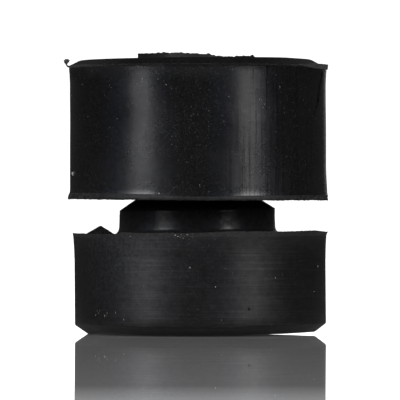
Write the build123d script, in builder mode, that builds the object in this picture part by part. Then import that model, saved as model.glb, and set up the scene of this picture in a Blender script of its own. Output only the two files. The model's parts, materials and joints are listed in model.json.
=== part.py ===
"""Anti-vibration mount: one moulding of black rubber, two drums joined by a grooved neck.

A wall of the machine sits in the groove round the neck. A bolt drops into the recess
of the upper drum and passes down the bore, and its head bears on the recess floor.

Millimetres. +Z points up along the bore, and the origin is the centre of the base.
"""

import os

from build123d import *

# Lower drum
lower_diameter = 29.5
lower_height = 11.5
base_chamfer_width = 1.5
base_chamfer_height = 1.1

# Neck: a plain cylinder, then a cone that narrows to the underside of the upper drum
neck_diameter = 18.2
neck_height = 3.0
neck_root_fillet = 0.25
cone_top_diameter = 12.8
cone_height = 1.7

# Upper drum: its wall ends in a narrow ledge, where the top plate of the mould closed
upper_diameter = 30.0
upper_wall_height = 15.05
ledge_width = 0.4
top_chamfer_width = 1.25
top_chamfer_height = 0.75

# Stepped hole down the middle
recess_diameter = 13.8
recess_depth = 10.0
bore_diameter = 8.0

# Flash lips: rubber that squeezed out all round, where two plates of the mould met
lip_thickness = 0.3
lip_root = 0.35
lower_lip_reach = 0.15
lower_lip_rise = 0.12
skirt_reach = 0.24
skirt_drop = 0.4
rim_lip_reach = 0.27
rim_lip_rise = 0.25

# Flash ring: stands round the mouth of the recess, torn off lower towards +X
ring_thickness = 0.18
ring_highest = 0.9
ring_lowest = 0.3

# Flash flap: a pointed fin on the lower drum, where the neck's two mould halves met
flap_inset = 1.85
flap_length = 2.5
flap_peak = 1.5
flap_height = 0.9
flap_thickness = 0.3

lower_radius = lower_diameter / 2
neck_radius = neck_diameter / 2
upper_radius = upper_diameter / 2
ledge_radius = upper_radius - ledge_width
recess_radius = recess_diameter / 2
ring_radius = recess_radius + ring_thickness
flap_start = -lower_radius + flap_inset

# Levels, from the base up
neck_top = lower_height + neck_height
underside = neck_top + cone_height
rim = underside + upper_wall_height
top = rim + top_chamfer_height
ring_top = top + ring_highest

with BuildPart() as rubber_mount:
    # The solid body: half of its section, turned about the bore
    with BuildSketch(Plane.XZ):
        with BuildLine():
            Polyline(
                (0, 0),
                (lower_radius - base_chamfer_width, 0),
                (lower_radius, base_chamfer_height),
                (lower_radius, lower_height),
                (neck_radius, lower_height),
                (neck_radius, neck_top),
                (cone_top_diameter / 2, underside),
                (upper_radius, underside),
                (upper_radius, rim),
                (ledge_radius, rim),
                (ledge_radius - top_chamfer_width, top),
                (0, top),
                close=True,
            )
        make_face()
    revolve(axis=Axis.Z)

    neck_edges = rubber_mount.edges().filter_by(
        lambda edge: edge.geom_type == GeomType.CIRCLE and abs(edge.radius - neck_radius) < 0.001
    )
    fillet(neck_edges.sort_by(Axis.Z)[0], radius=neck_root_fillet)

    # Recess for the bolt's head, and the bore below it
    with Locations((0, 0, top)):
        CounterBoreHole(bore_diameter / 2, recess_radius, recess_depth)

    # Flash lips on three corners: the two that face up rise, and the skirt hangs
    with BuildSketch(Plane.XZ):
        for wall, level, reach, rise, root in (
            (lower_radius, lower_height, lower_lip_reach, lower_lip_rise, -lip_root),
            (upper_radius, underside, skirt_reach, -skirt_drop, lip_root),
            (upper_radius, rim, rim_lip_reach, rim_lip_rise, -lip_root),
        ):
            Polygon(
                (wall - lip_thickness, level),
                (wall + reach, level + rise),
                (wall, level + root),
                align=None,
            )
    revolve(axis=Axis.Z)

    # Flash ring: its full height all round, then cut off on the slope where it tore
    with BuildSketch(Plane.XY.offset(top)):
        Circle(ring_radius)
        Circle(recess_radius, mode=Mode.SUBTRACT)
    extrude(amount=ring_highest)
    with BuildSketch(Plane.XZ):
        Polygon((-ring_radius, ring_top), (ring_radius, top + ring_lowest), (ring_radius, ring_top), align=None)
    extrude(amount=ring_radius, both=True, mode=Mode.SUBTRACT)

    # Flash flap: stands on the lower drum, on the side towards -X
    with BuildSketch(Plane.XZ):
        Polygon(
            (flap_start, lower_height),
            (flap_start + flap_peak, lower_height + flap_height),
            (flap_start + flap_length, lower_height),
            align=None,
        )
    extrude(amount=flap_thickness / 2, both=True)

rubber_mount.part.label = "rubber_mount"

os.makedirs("parts", exist_ok=True)
export_step(rubber_mount.part, "parts/rubber_mount.step")
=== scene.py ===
import json
import math

import bmesh
import bpy
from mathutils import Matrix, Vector


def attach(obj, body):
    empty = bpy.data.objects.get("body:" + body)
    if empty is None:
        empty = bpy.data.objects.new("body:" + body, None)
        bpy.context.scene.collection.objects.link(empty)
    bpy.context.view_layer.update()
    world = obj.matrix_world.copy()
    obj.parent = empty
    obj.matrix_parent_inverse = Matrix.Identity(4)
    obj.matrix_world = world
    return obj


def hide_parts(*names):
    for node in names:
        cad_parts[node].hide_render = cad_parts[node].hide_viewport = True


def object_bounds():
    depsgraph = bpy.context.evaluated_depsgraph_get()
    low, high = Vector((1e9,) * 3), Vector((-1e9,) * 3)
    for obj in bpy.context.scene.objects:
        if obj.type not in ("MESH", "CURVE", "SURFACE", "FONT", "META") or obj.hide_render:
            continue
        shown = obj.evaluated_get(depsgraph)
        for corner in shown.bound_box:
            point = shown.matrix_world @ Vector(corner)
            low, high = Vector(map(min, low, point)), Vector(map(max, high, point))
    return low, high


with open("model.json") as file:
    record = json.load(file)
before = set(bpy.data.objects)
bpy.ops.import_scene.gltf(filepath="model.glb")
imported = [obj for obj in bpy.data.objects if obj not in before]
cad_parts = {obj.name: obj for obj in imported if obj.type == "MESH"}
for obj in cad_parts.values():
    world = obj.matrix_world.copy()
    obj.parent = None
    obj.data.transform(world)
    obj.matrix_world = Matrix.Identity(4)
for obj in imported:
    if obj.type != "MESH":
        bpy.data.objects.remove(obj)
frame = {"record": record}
cad_low, cad_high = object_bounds()

# ---------------------------------------------------------------------------
# The moulded body
# One piece of black rubber, cured in a mould of stacked steel plates: a lower drum, a neck
# for the machine's wall to sit round, and an upper drum with a stepped hole for the bolt.
# The plates sat a little askew, so each zone of the moulding is shifted or tilted a little.
# ---------------------------------------------------------------------------
MM = 0.001

# Lower drum: its foot is chamfered, its wall flares out to a lip, and the base's edge clears the floor
lower_radius = 14.765
base_radius = 13.3
base_edge = 0.11
base_chamfer = 1.1
lower_top = 11.62
lower_flare_foot = lower_top - 3.3
lower_lip_rise = 0.27

# Neck: it swells a little down to a rounded root, and a cone narrows from its top to the upper drum
neck_radius = 9.13
neck_swell = 0.05
neck_foot_radius = neck_radius + neck_swell
neck_root = 1.0
neck_top = 14.62
cone_radius = 6.53

# Upper drum: a torn skirt hangs at its foot, and the lip at its rim reaches past the wall
underside = 16.32
skirt_top = 16.47
rim_reach = 0.21
upper_radius = cad_high[0] / MM - rim_reach
rim_flare_foot = 30.55
rim = 31.31

# Top plate, a little swollen, and the stepped hole
mounts = {mount["name"]: mount for mount in frame["record"]["mounts"]}
bore_radius = mounts["through_bore"]["dims"]["r_mm"]
recess_radius = mounts["head_recess"]["dims"]["r_mm"]
recess_floor = mounts["through_bore"]["dims"]["length_mm"]
plate_swell = 0.22
plate_radius = 14.77
plate_foot = 31.5
top_radius = 13.55
top = recess_floor + mounts["head_recess"]["dims"]["length_mm"] + plate_swell

faces_round = 720


def flare(radius, level, height, reach, power, steps=6):
    """Outline points of a wall that leaves its radius slowly and then faster, over a height."""
    shares = [step / steps for step in range(steps + 1)]
    return [(radius + reach * share**power, level + height * share) for share in shares]


outline = [
    # Lower drum and its lip
    (bore_radius, 0),
    (base_radius, base_edge),
    (lower_radius, base_chamfer),
    *flare(lower_radius, lower_flare_foot, 3.2, 0.12, 2.2),
    (lower_radius + 0.17, lower_top + lower_lip_rise),
    (lower_radius - 0.02, lower_top + lower_lip_rise - 0.03),
    (lower_radius - 0.3, lower_top),
    # Neck and cone
    (neck_foot_radius + neck_root, lower_top),
    *reversed(flare(neck_radius, neck_top, lower_top + neck_root - neck_top, neck_swell, 2)),
    (cone_radius, underside),
    # Underside of the upper drum, skirt, wall and rim lip
    (upper_radius - 0.3, underside),
    (upper_radius + 0.08, underside - 0.48),
    (upper_radius + 0.19, underside - 0.58),
    (upper_radius + 0.23, underside - 0.45),
    (upper_radius + 0.2, underside - 0.25),
    (upper_radius + 0.11, skirt_top - 0.08),
    (upper_radius + 0.07, skirt_top - 0.03),
    *reversed(flare(upper_radius, skirt_top + 0.8, -0.8, 0.035, 3, 8)),
    *flare(upper_radius, rim_flare_foot, rim - rim_flare_foot - 0.1, 0.012, 2.2, 8),
    (upper_radius + 0.18, rim + 0.06),
    (upper_radius + 0.22, rim + 0.14),
    (upper_radius + 0.06, rim + 0.16),
    (upper_radius - 0.15, rim + 0.06),
    # Top plate, recess and bore
    (plate_radius, plate_foot - 0.06),
    (plate_radius, plate_foot),
    (top_radius, top),
    (recess_radius, top),
    (recess_radius, recess_floor),
    (bore_radius, recess_floor),
]

bpy.ops.object.select_all(action="DESELECT")


def pick(piece, wanted):
    """Selects the vertices of the piece in edit mode whose place, in millimetres, is wanted."""
    bpy.ops.mesh.select_mode(type="VERT")
    bpy.ops.mesh.select_all(action="DESELECT")
    mesh = bmesh.from_edit_mesh(piece.data)
    for vertex in mesh.verts:
        vertex.select = bool(wanted(vertex.co / MM))
    mesh.select_flush(True)
    bmesh.update_edit_mesh(piece.data)


def pick_corners(piece, places):
    """Selects the vertices of a flat outline that lie at the given radii and heights."""
    pick(piece, lambda co: any(math.dist((co.x, co.z), place) < 0.01 for place in places))


bpy.ops.mesh.primitive_plane_add(size=MM)
body = bpy.context.object
body.name = "moulded_body"
bpy.ops.object.mode_set(mode="EDIT")
bpy.ops.mesh.merge(type="CENTER")
here = Vector((0, 0, 0))
for radius, level in outline:
    place = Vector((radius, 0, level)) * MM
    bpy.ops.mesh.extrude_vertices_move(TRANSFORM_OT_translate={"value": place - here})
    here = place
pick_corners(body, [(0, 0)])
bpy.ops.mesh.delete(type="VERT")
pick_corners(body, [outline[0], outline[-1]])
bpy.ops.mesh.edge_face_add()

# Long runs of the outline get more rows, and hard corners a small radius
pick(body, lambda co: co.x > lower_radius - 0.01 and 1 < co.z < lower_flare_foot + 0.1)
bpy.ops.mesh.subdivide(number_cuts=6)
pick(body, lambda co: co.x > upper_radius - 0.01 and skirt_top + 0.7 < co.z < rim_flare_foot + 0.05)
bpy.ops.mesh.subdivide(number_cuts=10)
pick_corners(body, [(neck_foot_radius + neck_root, lower_top), (lower_radius - 0.3, lower_top)])
bpy.ops.mesh.subdivide(number_cuts=2)
pick_corners(body, [(base_radius, base_edge), (lower_radius, base_chamfer)])
bpy.ops.mesh.bevel(offset=0.15 * MM, segments=3, affect="VERTICES")
pick_corners(body, [(neck_radius, neck_top)])
bpy.ops.mesh.bevel(offset=0.04 * MM, segments=2, affect="VERTICES")
pick_corners(body, [(recess_radius, top), (top_radius, top)])
bpy.ops.mesh.subdivide(number_cuts=4)
pick_corners(body, [(recess_radius, recess_floor), (top_radius, top)])
bpy.ops.mesh.bevel(offset=0.3 * MM, segments=5, affect="VERTICES")


def ease(share):
    """0 below 0, 1 above 1, and a smooth turn between them."""
    share = min(max(share, 0), 1)
    return share * share * (3 - 2 * share)


def sculpt(piece, wanted, change):
    """Moves each wanted vertex by the change, in millimetres, that a function gives for its place."""
    pick(piece, wanted)
    mesh = bmesh.from_edit_mesh(piece.data)
    for vertex in mesh.verts:
        if vertex.select:
            vertex.co += Vector(change(vertex.co / MM)) * MM
    bmesh.update_edit_mesh(piece.data)


# The root of the neck is a round fillet: its straight slope is cut up and hollowed
pick_corners(body, [(neck_foot_radius + neck_root, lower_top), (neck_foot_radius, lower_top + neck_root)])
bpy.ops.mesh.subdivide(number_cuts=7)


def hollow(co):
    """Takes a place on the slope of the neck's root to the round fillet."""
    centre = Vector((neck_foot_radius + neck_root, 0, lower_top + neck_root))
    return centre + (co - centre).normalized() * neck_root - co


sculpt(
    body,
    lambda co: neck_foot_radius - 0.01 < co.x < neck_foot_radius + neck_root + 0.01
    and lower_top - 0.1 < co.z < lower_top + neck_root + 0.01,
    hollow,
)

bpy.ops.mesh.select_all(action="SELECT")
bpy.ops.mesh.spin(steps=faces_round, angle=math.tau, center=(0, 0, 0), axis=(0, 0, 1))
bpy.ops.mesh.select_all(action="SELECT")
bpy.ops.mesh.remove_doubles(threshold=0.001 * MM)
bpy.ops.mesh.normals_make_consistent(inside=False)


def in_zone(inner, outer, low, high):
    """A test for places between two radii and two heights."""
    return lambda co: inner < co.xy.length < outer and low < co.z < high


# A radius and a height beyond the whole moulding
outside = 16
above = 33
lower_drum = in_zone(neck_foot_radius + neck_root + 0.1, outside, -1, 12.4)
neck_foot = in_zone(5, neck_foot_radius + neck_root + 0.1, lower_top - 0.1, neck_top - 0.5)
neck_break = in_zone(5, neck_radius + 0.1, neck_top - 0.4, neck_top + 0.2)
skirt_band = in_zone(upper_radius - 0.5, outside, 15.5, skirt_top + 0.02)
skirt_lip = in_zone(upper_radius - 0.1, outside, 15.5, 16)
wall_foot = in_zone(upper_radius - 0.1, outside, skirt_top - 0.1, skirt_top + 0.9)
upper_wall = in_zone(upper_radius - 0.1, outside, skirt_top - 0.1, rim)
rim_band = in_zone(plate_radius + 0.1, outside, rim - 0.02, rim + 0.2)
rim_lip = in_zone(upper_radius + 0.03, outside, rim + 0.03, rim + 0.2)
top_plate = in_zone(recess_radius + 0.5, plate_radius + 0.01, rim + 0.07, above)

finishes = ["glossy", "turned", "torn", "sheltered", "dull", "skirt"]


def finish_at(co):
    """The finish of the body's skin at a place, before the zones move."""
    if skirt_band(co):
        return "skirt"
    if rim_band(co) or co.z > lower_top + 0.02 and lower_drum(co):
        return "torn"
    if top_plate(co) or lower_drum(co) and abs(co.z - lower_top) < 0.05:
        return "dull"
    if co.xy.length < neck_radius + 0.2 or lower_top - 0.01 < co.z < skirt_top:
        return "sheltered"
    return "turned" if co.z < lower_top else "glossy"


bpy.ops.object.mode_set(mode="OBJECT")
for finish in finishes:
    bpy.ops.object.material_slot_add()
for face in body.data.polygons:
    face.material_index = finishes.index(finish_at(face.center / MM))
bpy.ops.object.mode_set(mode="EDIT")


def shift(piece, wanted, move=(0, 0, 0), tilt=0, pivot=0):
    """Moves the wanted vertices, in millimetres, and raises their +X side by an angle, in degrees."""
    pick(piece, wanted)
    bpy.ops.transform.translate(value=Vector(move) * MM)
    bpy.ops.transform.rotate(value=math.radians(tilt), orient_axis="Y", center_override=(0, 0, pivot * MM))


# How far each zone lies off the axis, and how it leans
lower_tilt = 0.42
plate_tilt = 0.43
shift(body, lower_drum, (0.335, 0, 0), lower_tilt)
shift(body, neck_foot, (-0.05, 0, 0), 0.4, lower_top)
shift(body, neck_break, (-0.05, 0, 0), 0.9, neck_top)
shift(body, skirt_lip, (0.04, 0, 0), -0.25, underside)
shift(body, rim_band, (0.06, 0, 0), 0.15, rim)
shift(body, top_plate, (-0.33, 0, 0), plate_tilt, plate_foot)


def base_lift(co):
    """The drum leans, but its base lies flat. Its edge is lifted at +X and front left, and low at -X."""
    right = 0.14 * ease((co.x - 4.4) / 2.4) + 0.04 * ease((co.x - 9) / 3) - 0.04 * ease((co.x - 12.9) / 0.8)
    back_right = (0.3 * ease((co.x - 4) / 2) - 0.21 * ease((co.x - 7.5) / 4)) * ease(co.y / 4)
    front_left = 0.14 * ease((-co.x - 6) / 4) * ease(-co.y / 6)
    low_left = 0.06 + 0.1 * (1 - ease((co.z - 0.3) / 0.6))
    low_left *= ease((-co.x - 9.5) / 2.5) * ease((co.y + 7) / 5)
    lift = right + back_right + front_left - low_left
    lean = math.tan(math.radians(lower_tilt)) * co.x
    return 0, 0, (lift - lean) * (1 - ease((co.z - 1) / 5))


def lower_lip_lift(co):
    """The lower lip stands higher along the front, dips before the neck, and is low at the back."""
    rise = 0.02 + 0.06 * ease((-12.8 - co.x) / 0.7) - 0.2 * ease(co.y / 5)
    high = 0.19 * ease((co.x + 9.3) / 0.5) * ease((15.15 - co.x) / 1.45)
    dip = 0.09 * ease((co.x + 8) / 2) * ease((3.5 - co.x) / 2.5)
    return 0.12 * ease((co.x - 8) / 5), 0, rise + (high - dip) * ease(-co.y / 3)


def wall_lean(co):
    """The upper wall leans towards -X higher up, and spreads towards +X at its foot and rim."""
    foot = 0.13 * ease(co.x / 14) * ease((19.5 - co.z) / 3)
    rim_right = 0.08 * ease((co.x - 8) / 6) * ease((co.z - 29.2) / 1.9)
    left = (0.035 * ease((co.z - 22) / 5) - 0.09 * ease(co.z - 30)) * ease(-co.x / 14)
    return 0.045 + foot + rim_right + left - 0.045 * ease((co.z - 24) / 4), 0, 0


def wall_run_down(co):
    """The glossy wall runs lower at the front and towards +X, where less of the skirt shows."""
    left = 0.12 * ease((co.x + 10.5) / 4) + 0.28 * ease((co.x + 5.5) / 4)
    rise = 0.1 - left + 0.12 * ease((co.x - 2) / 4)
    return 0, 0, rise * (1 - ease((co.z - skirt_top) / 0.9))


sculpt(body, in_zone(bore_radius + 0.1, outside, -0.5, 6), base_lift)
sculpt(body, in_zone(base_radius - 0.5, outside, -0.5, 0.75), lambda co: (0.13, 0, 0))
sculpt(body, in_zone(lower_radius - 0.3, outside, lower_top + 0.05, 12.5), lower_lip_lift)
sculpt(body, upper_wall, wall_lean)
sculpt(body, wall_foot, wall_run_down)
# Beyond the shifted top plate the rim was left as a ledge, and its lip folded down over the wall
sculpt(body, rim_band, lambda co: (0, 0, 0.1 * ease((co.x - 11) / 3) + 0.05 * ease((-co.x - 12) / 2)))
sculpt(body, rim_lip, lambda co: (0, 0, -2 * max(co.xy.length - upper_radius, 0) * ease((co.x - 11) / 3)))
# The plate slopes down to its edge at +X
sculpt(
    body,
    in_zone(recess_radius + 0.5, plate_radius, rim + 0.3, above),
    lambda co: (0.04 * ease((co.x - 11.5) / 1.5), 0, -0.07 * ease((co.x - 9.5) / 3)),
)


def fray(piece, wanted, reach, grain, direction="RGB_TO_XYZ"):
    """Displaces the wanted vertices by a cloudy pattern, its reach and grain in millimetres."""
    pick(piece, wanted)
    bpy.ops.object.vertex_group_assign_new()
    bpy.ops.object.mode_set(mode="OBJECT")
    pattern = bpy.data.textures.new("cloudy", "CLOUDS")
    pattern.cloud_type = "COLOR" if direction == "RGB_TO_XYZ" else "GRAYSCALE"
    pattern.noise_scale = grain * MM
    pattern.noise_depth = 2
    displace = piece.modifiers.new("fray", "DISPLACE")
    displace.vertex_group = piece.vertex_groups.active.name
    displace.texture = pattern
    displace.direction = direction
    displace.strength = reach * MM
    bpy.ops.object.modifier_apply(modifier=displace.name)
    bpy.ops.object.mode_set(mode="EDIT")


# The torn edges: fine crumbs on each, and longer waves up and down
lower_lip = in_zone(lower_radius - 0.1, outside, lower_top + 0.1, 12.5)
rim_edge = in_zone(upper_radius + 0.03, outside, rim, above)
fray(body, lower_lip, 0.12, 0.35)
fray(body, lower_lip, 0.11, 3, "Z")
fray(body, skirt_lip, 0.12, 0.35)
fray(body, skirt_lip, 0.12, 2.5, "Z")
fray(body, rim_edge, 0.14, 0.3)
fray(body, rim_edge, 0.2, 2.2, "Z")
fray(body, lambda co: rim_band(co) and co.x > 5, 0.16, 0.8)
fray(body, in_zone(upper_radius + 0.06, outside, rim - 0.6, rim), 0.07, 0.8)
fray(body, in_zone(upper_radius + 0.12, outside, 15.9, skirt_top), 0.05, 0.5)

bpy.ops.object.mode_set(mode="OBJECT")
bpy.ops.object.shade_smooth_by_angle(angle=math.radians(40))


def linear(hex_colour):
    """The linear colour, with alpha, of an sRGB hex value."""
    channels = [int(hex_colour[i : i + 2], 16) / 255 for i in (1, 3, 5)]
    return (*[c / 12.92 if c <= 0.04045 else ((c + 0.055) / 1.055) ** 2.4 for c in channels], 1)


def add_node(tree, kind, inputs=(), **settings):
    """Adds a shader node with its settings. Its inputs, by name or in order, are values or other nodes."""
    node = tree.nodes.new("ShaderNode" + kind)
    for name, value in settings.items():
        setattr(node, name, value)
    for socket, value in inputs.items() if isinstance(inputs, dict) else enumerate(inputs):
        if isinstance(value, bpy.types.Node):
            value = value.outputs[0]
        if isinstance(value, bpy.types.NodeSocket):
            tree.links.new(value, node.inputs[socket])
        else:
            node.inputs[socket].default_value = value
    return node


def new_material(name):
    """A material and its empty node tree."""
    material = bpy.data.materials.new(name)
    material.use_nodes = True
    material.node_tree.nodes.clear()
    return material, material.node_tree


def cloudy(tree, place, grain, detail, low, high, faint=0.0, strong=1.0):
    """Cloudy patches with a grain in millimetres, from faint to strong between two levels of the noise."""
    noise = add_node(tree, "TexNoise", {"Vector": place, "Scale": 1 / (grain * MM), "Detail": detail})
    return add_node(tree, "MapRange", [noise, low, high, faint, strong])


def speckle(tree, place, grain, share):
    """Round dots of uneven strength in a share of the cells of a scattered pattern."""
    cells = add_node(tree, "TexVoronoi", {"Vector": place, "Scale": 1 / (grain * MM)})
    chance = add_node(tree, "SeparateColor", [cells.outputs["Color"]])
    strength = add_node(tree, "Math", [chance.outputs["Green"], 2.0], operation="POWER")
    dots = add_node(tree, "MapRange", [cells.outputs["Distance"], 0.15, 0.4, 1.0, 0.0])
    dots = add_node(tree, "Math", [dots, strength], operation="MULTIPLY")
    chosen = add_node(tree, "Math", [share, chance.outputs["Red"]], operation="GREATER_THAN")
    return add_node(tree, "Math", [dots, chosen], operation="MULTIPLY")


def scattered_dust(tree, place):
    """Grains, specks and fine dust, thickest in the middle of the front and in drifts elsewhere."""
    middle = add_node(tree, "VectorMath", [place, Vector((-2, -15, 26)) * MM], operation="DISTANCE")
    thick = add_node(tree, "MapRange", [middle.outputs["Value"], 2.5 * MM, 6.5 * MM, 0.75, 0.19])
    drifts = cloudy(tree, place, 3, 3.0, 0.35, 0.65, 0.2, 1.0)
    drifts = add_node(tree, "Math", [drifts, thick], operation="MULTIPLY")
    sparse = add_node(tree, "Math", [drifts, 0.25, 0.04], operation="MULTIPLY_ADD")
    fine = cloudy(tree, place, 0.2, 3.0, 0.5, 0.85, 0.0, 0.22)
    specks = add_node(tree, "Math", [speckle(tree, place, 0.25, sparse), 0.7, fine], operation="MULTIPLY_ADD")
    return add_node(tree, "Math", [speckle(tree, place, 0.14, drifts), 0.6, specks], operation="MULTIPLY_ADD")


def film_of_dust(tree, place, rim_height, rim_dust, end_dust, lip_dust):
    """Dust too fine to tell apart: a veil by the groove at the front left, and films at the drums' edges."""
    x, _, height = add_node(tree, "SeparateXYZ", [place]).outputs
    front_left = add_node(tree, "VectorMath", [place, Vector((-8, -12, 11)) * MM], operation="DISTANCE")
    veil = add_node(tree, "MapRange", [front_left.outputs["Value"], 2 * MM, 11 * MM, 0.03, 0.0])
    patches = cloudy(tree, place, 0.35, 3.0, 0.35, 0.65, 0.2, 1.6)
    veil = add_node(tree, "Math", [veil, patches], operation="MULTIPLY")
    from_middle = add_node(tree, "Math", [x], operation="ABSOLUTE")
    on_ends = add_node(tree, "MapRange", [from_middle, 8 * MM, 15 * MM, 0.0, end_dust])
    under_lip = add_node(tree, "MapRange", [height, 9.6 * MM, 11.5 * MM, 0.0, lip_dust])
    # Along the rim it lies on the wall alone, and fades towards +X and -X
    along_rim = add_node(tree, "MapRange", [rim_height, 29.7 * MM, 31.2 * MM, 0.0, rim_dust])
    below_plate = add_node(tree, "MapRange", [height, 31.4 * MM, 31.45 * MM, 1.0, 0.0])
    along_rim = add_node(tree, "Math", [along_rim, below_plate], operation="MULTIPLY")
    aside = add_node(tree, "Math", [x, 5 * MM], operation="ADD")
    aside = add_node(tree, "Math", [aside], operation="ABSOLUTE")
    aside = add_node(tree, "MapRange", [aside, 7 * MM, 11 * MM, 1.0, 0.1])
    along_rim = add_node(tree, "Math", [along_rim, aside], operation="MULTIPLY")
    film = veil
    for layer in (on_ends, under_lip, along_rim):
        film = add_node(tree, "Math", [film, layer], operation="ADD")
    return film


def moulded_rubber(
    name, colour, rough, shine, scored_shine, squeeze, mark_grain, mark_depth, mark_side,
    dusty, rim_dust=0.0, end_dust=0.0, lip_dust=0.0, dull=1.0, shine_at_plus_x=1.0, patchy=0.15,
):
    """Moulded black rubber with long marks and fine dust.

    shine turns into scored_shine where a mark is deep, and is uneven by the share in patchy. dull is the
    part of it that is left at the top of the neck, where it is painted down as shade under the upper drum,
    and shine_at_plus_x the part left at +X.
    squeeze flattens the noise of the marks so that they run round (z alone kept) or up and down.
    mark_side holds the X, in millimetres, where the marks start and where they are strongest.
    dusty is how much of the scattered dust shows, rim_dust how much lies along the upper rim, end_dust
    how much lies on the ends towards -X and +X, and lip_dust how much lies under the lower lip.
    """
    material, tree = new_material(name)
    place = add_node(tree, "TexCoord").outputs["Object"]
    x, _, height = add_node(tree, "SeparateXYZ", [place]).outputs

    squeezed = add_node(tree, "VectorMath", [place, squeeze], operation="MULTIPLY")
    side = add_node(tree, "MapRange", [x, mark_side[0] * MM, mark_side[1] * MM])
    marks = add_node(tree, "TexNoise", {"Vector": squeezed, "Scale": 1 / (mark_grain * MM), "Detail": 3.0})
    marks = add_node(tree, "Math", [marks, side], operation="MULTIPLY")
    scores = cloudy(tree, squeezed, mark_grain, 1.0, 0.5, 0.7)
    scores = add_node(tree, "Math", [scores, side], operation="MULTIPLY")

    # What happens near the rim starts along a wavy line that drops towards +X
    wavy = add_node(tree, "TexNoise", {"Vector": place, "Scale": 1 / (0.9 * MM), "Detail": 4.0})
    rim_height = add_node(tree, "Math", [wavy, 0.9 * MM, height], operation="MULTIPLY_ADD")
    rim_height = add_node(tree, "Math", [x, 0.03, rim_height], operation="MULTIPLY_ADD")
    film = film_of_dust(tree, place, rim_height, rim_dust, end_dust, lip_dust)
    dust = add_node(
        tree, "Math", [scattered_dust(tree, place), dusty, film], operation="MULTIPLY_ADD", use_clamp=True
    )
    base = add_node(tree, "Mix", {"Factor": dust, 6: linear(colour), 7: linear("#8a8a8c")}, data_type="RGBA")

    hazy = cloudy(tree, place, 4, 4.0, 0.3, 0.7, rough - 0.03, rough + 0.03)
    low_haze = add_node(tree, "MapRange", [height, 28 * MM, 20 * MM, 0.0, 0.05])
    hazy = add_node(tree, "Math", [hazy, low_haze], operation="ADD")
    roughness = add_node(tree, "Math", [dust, 0.6, hazy], operation="MULTIPLY_ADD")

    # The shine is painted down towards the top of the neck, as shade under the upper drum, and painted to
    # fade towards the rim, where the lamps' highlights end. It is also a little weaker low on the wall and at
    # +X, and patchy.
    reflection = add_node(tree, "MapRange", [scores, 0.0, 1.0, shine, scored_shine])
    for part_left in (
        add_node(tree, "MapRange", [height, (lower_top + 0.9) * MM, (neck_top - 0.3) * MM, 1.0, dull]),
        add_node(tree, "MapRange", [rim_height, 29.4 * MM, 31.4 * MM, 1.0, 0.78]),
        add_node(tree, "MapRange", [height, 28 * MM, 21 * MM, 1.0, 0.93]),
        add_node(tree, "MapRange", [x, -3 * MM, 3 * MM, 1.0, shine_at_plus_x]),
        cloudy(tree, place, 0.9, 3.0, 0.3, 0.7, 1 - patchy, 1 + patchy),
    ):
        reflection = add_node(tree, "Math", [reflection, part_left], operation="MULTIPLY")

    # The long marks, and a pebbled skin a few thousandths of a millimetre deep
    relief = add_node(tree, "Bump", {"Height": marks, "Distance": mark_depth * MM})
    pebbled = add_node(tree, "TexNoise", {"Vector": place, "Scale": 1 / (0.35 * MM), "Detail": 3.0})
    relief = add_node(tree, "Bump", {"Height": pebbled, "Distance": 0.0025 * MM, "Normal": relief})
    shader = add_node(
        tree, "BsdfPrincipled",
        {
            "Base Color": base.outputs[2], "Roughness": roughness, "Specular IOR Level": reflection,
            "IOR": 1.5, "Normal": relief,
        },
    )
    add_node(tree, "OutputMaterial", {"Surface": shader})
    return material


def torn_rubber(name, pale, least=0.35, most=0.9):
    """Broken rubber where flash was torn off: dull and crumbly, and pale where dust clings to it.

    pale is how much dust clings to it in the middle. Towards -X and +X it grows to three times as much: dust,
    and painted sheen where the edges are seen at a grazing angle from the front. Its crumbs hold from least
    to most of that.
    """
    material, tree = new_material(name)
    place = add_node(tree, "TexCoord").outputs["Object"]
    x, _, height = add_node(tree, "SeparateXYZ", [place]).outputs
    # Paler towards -X and +X: dust, and painted sheen where the edges are seen at a grazing angle
    from_middle = add_node(tree, "Math", [x], operation="ABSOLUTE")
    low_down = add_node(tree, "MapRange", [height, 12 * MM, 16 * MM, 0.75, 1.0])
    from_middle = add_node(tree, "Math", [from_middle, low_down], operation="MULTIPLY")
    dust_and_sheen = add_node(tree, "MapRange", [from_middle, 10 * MM, 14.6 * MM, pale, 3 * pale])
    crumble = add_node(tree, "TexNoise", {"Vector": place, "Scale": 1 / (0.3 * MM), "Detail": 4.0})
    dust = add_node(tree, "MapRange", [crumble, 0.4, 0.75, least, most])
    dust = add_node(tree, "Math", [dust, dust_and_sheen], operation="MULTIPLY")
    rubber, grey = linear("#101010"), linear("#6a6966")
    base = add_node(tree, "Mix", {"Factor": dust, 6: rubber, 7: grey}, data_type="RGBA")
    relief = add_node(tree, "Bump", {"Height": crumble, "Distance": 0.03 * MM})
    shader = add_node(
        tree, "BsdfPrincipled",
        {
            "Base Color": base.outputs[2], "Roughness": 0.55, "Specular IOR Level": 0.2,
            "IOR": 1.5, "Normal": relief,
        },
    )
    add_node(tree, "OutputMaterial", {"Surface": shader})
    return material


# The steel of the mould was polished for the upper drum, so its skin mirrors the lamps softly.
# Drag marks run up it towards +X, from where it was pulled out of the mould.
glossy = moulded_rubber(
    "glossy_moulded_rubber", "#0a0a0a", rough=0.22, shine=0.51, scored_shine=0.14,
    squeeze=(1, 1, 0.01), mark_grain=0.13, mark_depth=0.01, mark_side=(2, 5),
    dusty=0.23, rim_dust=0.026,
)
# For the lower drum the steel was only turned, and its tool marks came out as rings round it
turned = moulded_rubber(
    "turned_moulded_rubber", "#040404", rough=0.35, shine=0.38, scored_shine=0.54,
    squeeze=(0.015, 0.015, 1), mark_grain=0.12, mark_depth=0.004, mark_side=(-13, -5),
    dusty=0.2, lip_dust=0.018, shine_at_plus_x=0.92,
)
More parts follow.
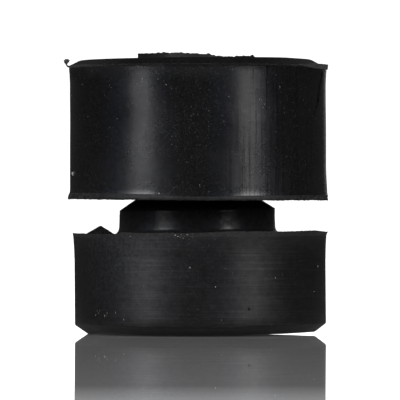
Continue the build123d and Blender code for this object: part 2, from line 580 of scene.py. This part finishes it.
# The neck lies deep in the groove. Its colour is painted lighter than the drums' to lift the groove's shade,
# its shine is painted down as shade towards the top of the neck and at +X, and its shine is blotchy.
sheltered = moulded_rubber(
    "sheltered_moulded_rubber", "#181818", rough=0.24, shine=0.2, scored_shine=0.17,
    squeeze=(0.05, 0.05, 1), mark_grain=0.2, mark_depth=0.003, mark_side=(-40, -30),
    dusty=0.2, dull=0.33, shine_at_plus_x=0.72, patchy=0.6,
)
# The flat faces up are dull, and catch more dust
dull = moulded_rubber(
    "dull_moulded_rubber", "#050505", rough=0.6, shine=0.12, scored_shine=0.1,
    squeeze=(1, 1, 1), mark_grain=0.3, mark_depth=0.004, mark_side=(-40, -30),
    dusty=0.2, end_dust=0.05,
)
# The lips were torn off and are pale with dust. The skirt is cleaner, but its dust lies in crumbs. Both are
# paler towards -X and +X with painted sheen.
torn = torn_rubber("torn_rubber", 0.19)
torn_skirt = torn_rubber("torn_skirt_rubber", 0.07, 0.0, 1.6)
for slot, skin in enumerate((glossy, turned, torn, sheltered, dull, torn_skirt)):
    body.material_slots[slot].material = skin

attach(body, "root")
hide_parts("rubber_mount")

# ---------------------------------------------------------------------------
# The recess flash
# A thin fin of rubber that squeezed up round the core pin of the recess. It was torn off by
# hand, so it is tall at -X, low at +X, and its edge is uneven.
# ---------------------------------------------------------------------------
fin_thickness = 0.14
fin_radius = recess_radius + 0.14
fin_root = 0.1
fin_rows = 5
fin_height = 1.0
# Height of the torn edge above the top plate, from -X to +X
torn_edge = [
    (-7, 0.72), (-5, 0.66), (-3.5, 0.7), (-2, 0.68), (-0.9, 0.62), (0, 0.54), (1.4, 0.48), (2.2, 0.3),
    (3.3, 0.23), (4.4, 0.24), (5.4, 0.31), (6.2, 0.28), (6.5, 0.46), (6.75, 0.15), (7.1, 0.1),
]
# Where a nub stands up from the edge, or a notch is torn in it, along its front
nubs = [(-6.1, 0.04), (-4.65, 0.1), (-4.0, 0.12), (-1.9, 0.06), (1.25, 0.13), (4.3, -0.06), (6.4, 0.06)]
nub_radius = 0.35


def edge_height(x):
    """Height of the torn edge at a place along X, in straight runs between the listed places."""
    for (left, low), (right, high) in zip(torn_edge, torn_edge[1:]):
        if x < right:
            return low + (high - low) * max(x - left, 0) / (right - left)
    return torn_edge[-1][1]


def draw_down(co):
    """Draws a column of the fin down to the torn edge, which leans as the top plate does."""
    wanted = fin_root + edge_height(co.x) + math.tan(math.radians(plate_tilt)) * co.x
    return 0, 0, (co.z - top + fin_root) * (wanted - fin_height) / fin_height


def near_edge(co):
    """A test for places in the top fifth of the fin."""
    return co.z > top + 0.8 * edge_height(co.x)


def lean_in(co):
    """The front of the fin leans in towards the hole, but out again at -X."""
    lean = 0.22 * ease(co.x + 4) - 0.12
    return 0, (co.z - top) * lean * ease((-co.y - 2) / 1.5), 0


bpy.ops.object.select_all(action="DESELECT")
bpy.ops.mesh.primitive_circle_add(vertices=480, radius=fin_radius * MM)
fin = bpy.context.object
fin.name = "recess_flash"
bpy.ops.object.mode_set(mode="EDIT")
bpy.ops.transform.translate(value=(0, 0, (top - fin_root) * MM))
for row in range(fin_rows):
    bpy.ops.mesh.extrude_edges_move(TRANSFORM_OT_translate={"value": (0, 0, fin_height / fin_rows * MM)})
sculpt(fin, lambda co: co.z > top - fin_root / 2, draw_down)
fray(fin, near_edge, 0.16, 0.3)
for x, rise in nubs:
    nub = Vector((x, -math.sqrt(fin_radius**2 - x * x)))
    sculpt(fin, near_edge, lambda co: (0, 0, rise * (1 - ease((co.xy - nub).length / nub_radius))))
sculpt(fin, lambda co: co.z > top, lean_in)
bpy.ops.object.mode_set(mode="OBJECT")
solid = fin.modifiers.new("thickness", "SOLIDIFY")
solid.thickness = fin_thickness * MM
solid.offset = -1
bpy.ops.object.modifier_apply(modifier=solid.name)
bpy.ops.object.mode_set(mode="EDIT")
bpy.ops.mesh.select_all(action="SELECT")
bpy.ops.mesh.normals_make_consistent(inside=False)
bpy.ops.object.mode_set(mode="OBJECT")
bpy.ops.object.shade_smooth_by_angle(angle=math.radians(40))
fin.data.materials.append(torn_rubber("torn_fin_rubber", 0.06))
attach(fin, "root")
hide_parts("rubber_mount")

# ---------------------------------------------------------------------------
# The flap in the groove
# A pointed fin of flash on top of the lower drum, left where the two halves of the mould's
# middle plate met.
# ---------------------------------------------------------------------------
flap_foot = lower_top - 0.15
flap_rise = 1.2
flap_length = 4.26
flap_thickness = 0.32
flap_middle = -11.53

bpy.ops.object.select_all(action="DESELECT")
bpy.ops.mesh.primitive_cube_add(size=MM)
flap = bpy.context.object
flap.name = "groove_flap"
bpy.ops.object.mode_set(mode="EDIT")
bpy.ops.transform.resize(value=(flap_length, flap_thickness, flap_rise))
bpy.ops.transform.translate(value=Vector((flap_middle, 0, flap_foot + flap_rise / 2)) * MM)
# Its top is drawn in to a thin point, a little towards +X
pick(flap, lambda co: co.z > lower_top + 0.5)
bpy.ops.transform.resize(value=(0.04, 0.5, 1))
bpy.ops.transform.translate(value=Vector((0.13, 0, 0)) * MM)
bpy.ops.mesh.select_all(action="SELECT")
bpy.ops.mesh.subdivide(number_cuts=14)
fray(flap, lambda co: co.z > lower_top, 0.08, 0.4)
bpy.ops.object.mode_set(mode="OBJECT")
bpy.ops.object.shade_smooth_by_angle(angle=math.radians(40))
flap.data.materials.append(torn_rubber("torn_flap_rubber", 0.1))
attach(flap, "root")
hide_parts("rubber_mount")

# ---------------------------------------------------------------------------
# The curl at the rim
# A shred of rim flash that tore nearly free, of the same rubber: a thread that hangs on at the
# rim's -X side, with a crumpled end.
# ---------------------------------------------------------------------------
def shred(name, width, start, path):
    """A shred of rubber that runs through the places of a path and swells by the factor at each."""
    bpy.ops.object.select_all(action="DESELECT")
    bpy.ops.mesh.primitive_plane_add(size=width * MM)
    piece = bpy.context.object
    piece.name = name
    bpy.ops.object.mode_set(mode="EDIT")
    bpy.ops.transform.translate(value=Vector(start) * MM)
    here = Vector(start)
    for place, growth in path:
        bpy.ops.mesh.extrude_region_move(TRANSFORM_OT_translate={"value": (Vector(place) - here) * MM})
        bpy.ops.transform.resize(value=(growth, growth, growth), center_override=Vector(place) * MM)
        here = Vector(place)
    bpy.ops.mesh.select_all(action="SELECT")
    bpy.ops.mesh.normals_make_consistent(inside=False)
    bpy.ops.mesh.subdivide(number_cuts=3, smoothness=0.6)
    return piece


curl = shred(
    "rim_curl",
    0.36,
    (-15.1, -1, 31.36),
    [
        ((-15.27, -1, 31.46), 0.62),
        ((-15.38, -1, 31.58), 0.7),
        ((-15.42, -1, 31.74), 1.4),
        ((-15.4, -1, 31.92), 1.9),
        ((-15.36, -1, 32.08), 1.25),
        ((-15.36, -1, 32.2), 0.75),
        ((-15.42, -1, 32.27), 0.4),
    ],
)
fray(curl, lambda co: co.z > 31.65, 0.3, 0.25)
bpy.ops.object.mode_set(mode="OBJECT")
bpy.ops.object.shade_smooth_by_angle(angle=math.radians(40))
curl.data.materials.append(torn)
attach(curl, "root")
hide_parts("rubber_mount")

# ---------------------------------------------------------------------------
# The fold in the wall
# A fold of the rubber's skin near the +X side, running down from the rim, where the rubber
# flowed together late in the mould.
# ---------------------------------------------------------------------------
def on_wall(radius, azimuth, height):
    """The place on a drum's wall at an azimuth from the front towards +X, and a height."""
    angle = math.radians(azimuth)
    return Vector((radius * math.sin(angle), -radius * math.cos(angle), height))


# Azimuth, height and swelling along the fold
fold_route = [
    (73.4, 30.0, 1.2), (72.3, 29.4, 1.0), (70.8, 28.6, 1.0), (69.4, 28.0, 1.3), (68.9, 27.5, 0.9),
    (68.4, 27.0, 0.8), (66.9, 26.6, 1.0), (65.4, 26.0, 0.9), (64.4, 25.6, 0.4),
]
fold = shred(
    "wall_fold",
    0.15,
    on_wall(upper_radius + 0.1, 73.7, 30.7),
    [(on_wall(upper_radius + 0.05, azimuth, height), growth) for azimuth, height, growth in fold_route],
)
fray(fold, lambda co: True, 0.13, 0.4)
bpy.ops.object.mode_set(mode="OBJECT")
bpy.ops.object.shade_smooth_by_angle(angle=math.radians(40))
# The rubber inside the fold is out of the light, so its colour is painted nearly black as that shade,
# blacker than the skin round it.
crevice = bpy.data.materials.new("dark_crevice_rubber")
crevice.use_nodes = True
shader = crevice.node_tree.nodes["Principled BSDF"]
shader.inputs["Base Color"].default_value = linear("#060606")
shader.inputs["Roughness"].default_value = 0.7
shader.inputs["Specular IOR Level"].default_value = 0.1
fold.data.materials.append(crevice)
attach(fold, "root")
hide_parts("rubber_mount")

# ---------------------------------------------------------------------------
# Crumbs
# Loose grains of dust and lint that cling to the rubber, larger than the dust of its skin.
# ---------------------------------------------------------------------------
# Azimuth from the front towards +X, height and half width of each crumb
upper_crumbs = [
    (13.7, 27.64, 0.036), (30.2, 26.34, 0.028), (29.1, 27.26, 0.022), (30.7, 26.8, 0.022),
    (28.1, 27.37, 0.022), (39.9, 28.1, 0.022), (39, 28.85, 0.028), (39.1, 28.7, 0.022),
    (32.5, 29.35, 0.022), (54.2, 27.33, 0.022), (59.2, 26.2, 0.028), (60.6, 25.5, 0.022),
    (75.9, 24.1, 0.028), (-63, 29.2, 0.036), (-24.9, 29.7, 0.028), (-17.6, 29.65, 0.028),
    (-13.9, 29, 0.028), (-37.9, 25.1, 0.028), (-42.3, 29, 0.022), (-41.4, 28.7, 0.022),
    (-78.1, 28, 0.022), (-64.6, 25.85, 0.022), (-60.6, 25.6, 0.028), (-57.9, 25.4, 0.022),
    (-42.9, 24.1, 0.022), (0.9, 17.5, 0.028), (-10.4, 17.2, 0.022), (31.2, 17.15, 0.028),
    (-17.1, 16.5, 0.06),
]
# One long flake near -X
flake = [(-75.5, 18.8, 0.12)]
lower_crumbs = [
    (6.5, 5.8, 0.045), (35.6, 6.8, 0.035), (10.9, 7.9, 0.025), (-22.5, 6.7, 0.03), (63, 5.1, 0.035),
    (9.3, 2, 0.03),
]
lip_crumbs = [
    (-11.4, 11.75, 0.055), (-8.7, 11.8, 0.035), (-6, 11.8, 0.045), (-7.8, 11.4, 0.035),
    (-3.8, 11.5, 0.03), (-10.2, 11.6, 0.035), (-9.2, 11.5, 0.03), (-5.1, 11.3, 0.03), (-33, 11.6, 0.04),
]
hairs = [
    (-55.4, 2.4, 0.024), (-54.2, 2.85, 0.02), (-52.3, 2.95, 0.024), (-52.9, 2.6, 0.02),
    (-48.8, 2.35, 0.028), (-47, 2.7, 0.024), (-47.8, 2.4, 0.02), (-41.6, 2.75, 0.018),
    (-36.8, 2, 0.018), (-4.8, 8, 0.025), (67, 8, 0.025),
]
# How far the lower drum's wall lies off the axis, towards +X
lower_shift = 0.36


def cluster(name, groups):
    """One piece of small grains on a wall, from groups of like grains.

    Each group holds the wall's radius and X shift, the grains' depth and length as shares of their half
    width, and their places.
    """
    bpy.ops.object.select_all(action="DESELECT")
    grains = []
    for radius, shift_x, depth, length, places in groups:
        for azimuth, height, half_width in places:
            place = on_wall(radius, azimuth, height) + Vector((shift_x, 0, 0))
            bpy.ops.mesh.primitive_ico_sphere_add(subdivisions=2, radius=half_width * MM, location=place * MM)
            bpy.ops.transform.resize(value=(1.2, depth, length))
            grains.append(bpy.context.object)
    for grain in grains:
        grain.select_set(True)
    bpy.ops.object.join()
    piece = bpy.context.object
    piece.name = name
    bpy.ops.object.transform_apply(location=True, rotation=True, scale=True)
    bpy.context.scene.cursor.location = (0, 0, 0)
    bpy.ops.object.origin_set(type="ORIGIN_CURSOR")
    bpy.ops.object.mode_set(mode="EDIT")
    fray(piece, lambda co: True, 0.08, 0.08)
    bpy.ops.object.mode_set(mode="OBJECT")
    return piece


crumbs = cluster(
    "dust_crumbs",
    [
        (upper_radius, 0, 0.8, 1.4, upper_crumbs),
        (lower_radius, lower_shift, 0.8, 1.4, lower_crumbs),
        (upper_radius, 0, 0.8, 2.2, flake),
        (lower_radius + 0.18, lower_shift, 0.8, 1.0, lip_crumbs),
        (lower_radius + 0.03, lower_shift, 0.8, 6, hairs),
    ],
)
# Lint and dust are matt, and look pale against the rubber
lint = bpy.data.materials.new("grey_lint")
lint.use_nodes = True
shader = lint.node_tree.nodes["Principled BSDF"]
shader.inputs["Base Color"].default_value = linear("#9a9994")
shader.inputs["Roughness"].default_value = 0.8
crumbs.data.materials.append(lint)
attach(crumbs, "root")
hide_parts("rubber_mount")

# ---------------------------------------------------------------------------
# Pits
# Small dark scars in the lower drum's skin, where grit in the mould left its mark. They lie
# flush with the wall.
# ---------------------------------------------------------------------------
scars = [(-24, 6.85, 0.1), (22, 3.25, 0.18)]
pits = cluster("wall_pits", [(lower_radius + 0.02, lower_shift, 0.15, 1.0, scars)])
pits.data.materials.append(torn_skirt)
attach(pits, "root")
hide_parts("rubber_mount")

# ---------------------------------------------------------------------------
# The floor
# A sheet of milky white acrylic, lit through as well as from above, that is not part of the
# object. It mirrors less towards its front edge.
# ---------------------------------------------------------------------------
sheet_size = 6000
# The Y between which the sheet's mirror weakens
gloss_end = (-153, -181)

bpy.ops.object.select_all(action="DESELECT")
bpy.ops.mesh.primitive_plane_add(size=sheet_size * MM, location=(0, 0, 0))
floor = bpy.context.object
floor.name = "floor"
acrylic, tree = new_material("white_gloss_acrylic")
ground = add_node(tree, "TexCoord").outputs["Object"]
from_axis = add_node(tree, "VectorMath", [ground], operation="LENGTH").outputs["Value"]
_, y, _ = add_node(tree, "SeparateXYZ", [ground]).outputs

# To the eye it is milky, lit from below, and polished. Where the mount stands on it, except below the bore,
# it is painted black as the mount's contact shadow.
lit = add_node(tree, "BsdfDiffuse", {"Color": linear("#9d9d9d")})
glow = add_node(tree, "Emission", {"Color": linear("#ffffff"), "Strength": 0.365})
milky = add_node(tree, "AddShader", [lit, glow])
below_bore = add_node(tree, "MapRange", [from_axis, 4.5 * MM, 5.5 * MM, 1.0, 0.0])
beyond_base = add_node(tree, "MapRange", [from_axis, 11 * MM, 12.5 * MM])
outside_painted_shadow = add_node(tree, "Math", [below_bore, beyond_base], operation="ADD")
sheet = add_node(tree, "MixShader", {0: outside_painted_shadow, 2: milky})
mirror = add_node(tree, "BsdfGlossy", {"Color": linear("#ffffff"), "Roughness": 0.0})
coat = add_node(tree, "MapRange", [y, gloss_end[0] * MM, gloss_end[1] * MM, 1.1, 0.9])
mirrored = add_node(
    tree, "Math", [add_node(tree, "Fresnel", {"IOR": 1.5}), coat], operation="MULTIPLY", use_clamp=True
)
polished = add_node(tree, "MixShader", [mirrored, sheet, mirror])

# To the object it is a grey card, painted darker further from the base as shade where the lamps light it
# less, with a faint light close to the base.
painted_shade_far = add_node(tree, "MapRange", [from_axis, 45 * MM, 120 * MM])
grey = add_node(tree, "Mix", {"Factor": painted_shade_far, 6: linear("#747474"), 7: linear("#484848")}, data_type="RGBA")
close_light = add_node(tree, "MapRange", [from_axis, 14 * MM, 40 * MM, 0.062, 0.0])
card = add_node(
    tree, "AddShader",
    [
        add_node(tree, "BsdfDiffuse", {"Color": grey.outputs[2]}),
        add_node(tree, "Emission", {"Color": linear("#ffffff"), "Strength": close_light}),
    ],
)
seen = add_node(tree, "LightPath").outputs["Is Camera Ray"]
add_node(tree, "OutputMaterial", {"Surface": add_node(tree, "MixShader", [seen, card, polished])})
floor.data.materials.append(acrylic)

# ---------------------------------------------------------------------------
# Lamps and world
# Two tall softboxes in front, each with a wide, faint, bluish reflector behind it, one lamp
# overhead and one low panel at the back.
# ---------------------------------------------------------------------------
def softbox(name, azimuth, elevation, width, length, radiance, colour="#ffffff", distance=1.0):
    """An area lamp that faces the object, its sizes and distance in metres.

    Its power follows from its radiance, which is how bright its face looks.
    """
    data = bpy.data.lights.new(name, "AREA")
    data.shape = "RECTANGLE"
    data.size = width
    data.size_y = length
    data.color = linear(colour)[:3]
    data.energy = radiance * math.pi * width * length
    lamp = bpy.data.objects.new(name, data)
    bpy.context.scene.collection.objects.link(lamp)
    a, e = math.radians(azimuth), math.radians(elevation)
    way = Vector((math.sin(a) * math.cos(e), -math.cos(a) * math.cos(e), math.sin(e)))
    lamp.location = Vector((0, 0, top / 2 * MM)) + way * distance
    lamp.rotation_mode = "QUATERNION"
    lamp.rotation_quaternion = way.to_track_quat("Z", "Y")
    lamp.visible_camera = False


softbox("strip_left", -51.4, 31, 0.33, 1.0, 8.9)
softbox("strip_right", 46.5, 31, 0.35, 1.0, 8.9)
softbox("reflector_left", -58, 28, 1.4, 1.1, 0.27, "#5a98ff", 1.2)
softbox("reflector_right", 42, 28, 1.4, 1.1, 0.21, "#5a98ff", 1.2)
softbox("overhead", 0, 70, 0.5, 0.5, 1.5)
softbox("behind", 172, 8, 0.45, 0.35, 0.4, distance=1.2)

world = bpy.data.worlds.new("studio")
bpy.context.scene.world = world
world.use_nodes = True
tree = world.node_tree
tree.nodes.clear()
path = add_node(tree, "LightPath").outputs
plain = add_node(tree, "Math", [path["Is Camera Ray"], path["Is Singular Ray"]], operation="MAXIMUM")
dim = add_node(tree, "Background", {"Color": linear("#fffaf6"), "Strength": 0.05})
white = add_node(tree, "Background", {"Color": linear("#ffffff"), "Strength": 1.2})
sky = add_node(tree, "MixShader", [plain, dim, white])
add_node(tree, "OutputWorld", {"Surface": sky})

# ---------------------------------------------------------------------------
# Camera
# A long lens, a little above the groove.
# ---------------------------------------------------------------------------
camera_height = 18.2
camera_distance = 610
aim_height = 15.72
view_width = 47.02
side = 0.27
view = bpy.data.cameras.new("camera")
camera = bpy.data.objects.new("camera", view)
bpy.context.scene.collection.objects.link(camera)
camera.location = Vector((side, -camera_distance, camera_height)) * MM
view.lens = view.sensor_width * camera_distance / view_width
aim = Vector((side, 0, aim_height)) * MM - camera.location
camera.rotation_mode = "QUATERNION"
camera.rotation_quaternion = aim.to_track_quat("-Z", "Y")
view.clip_start = 0.05
view.clip_end = 10
bpy.context.scene.camera = camera

bpy.context.scene.view_settings.view_transform = "Standard"
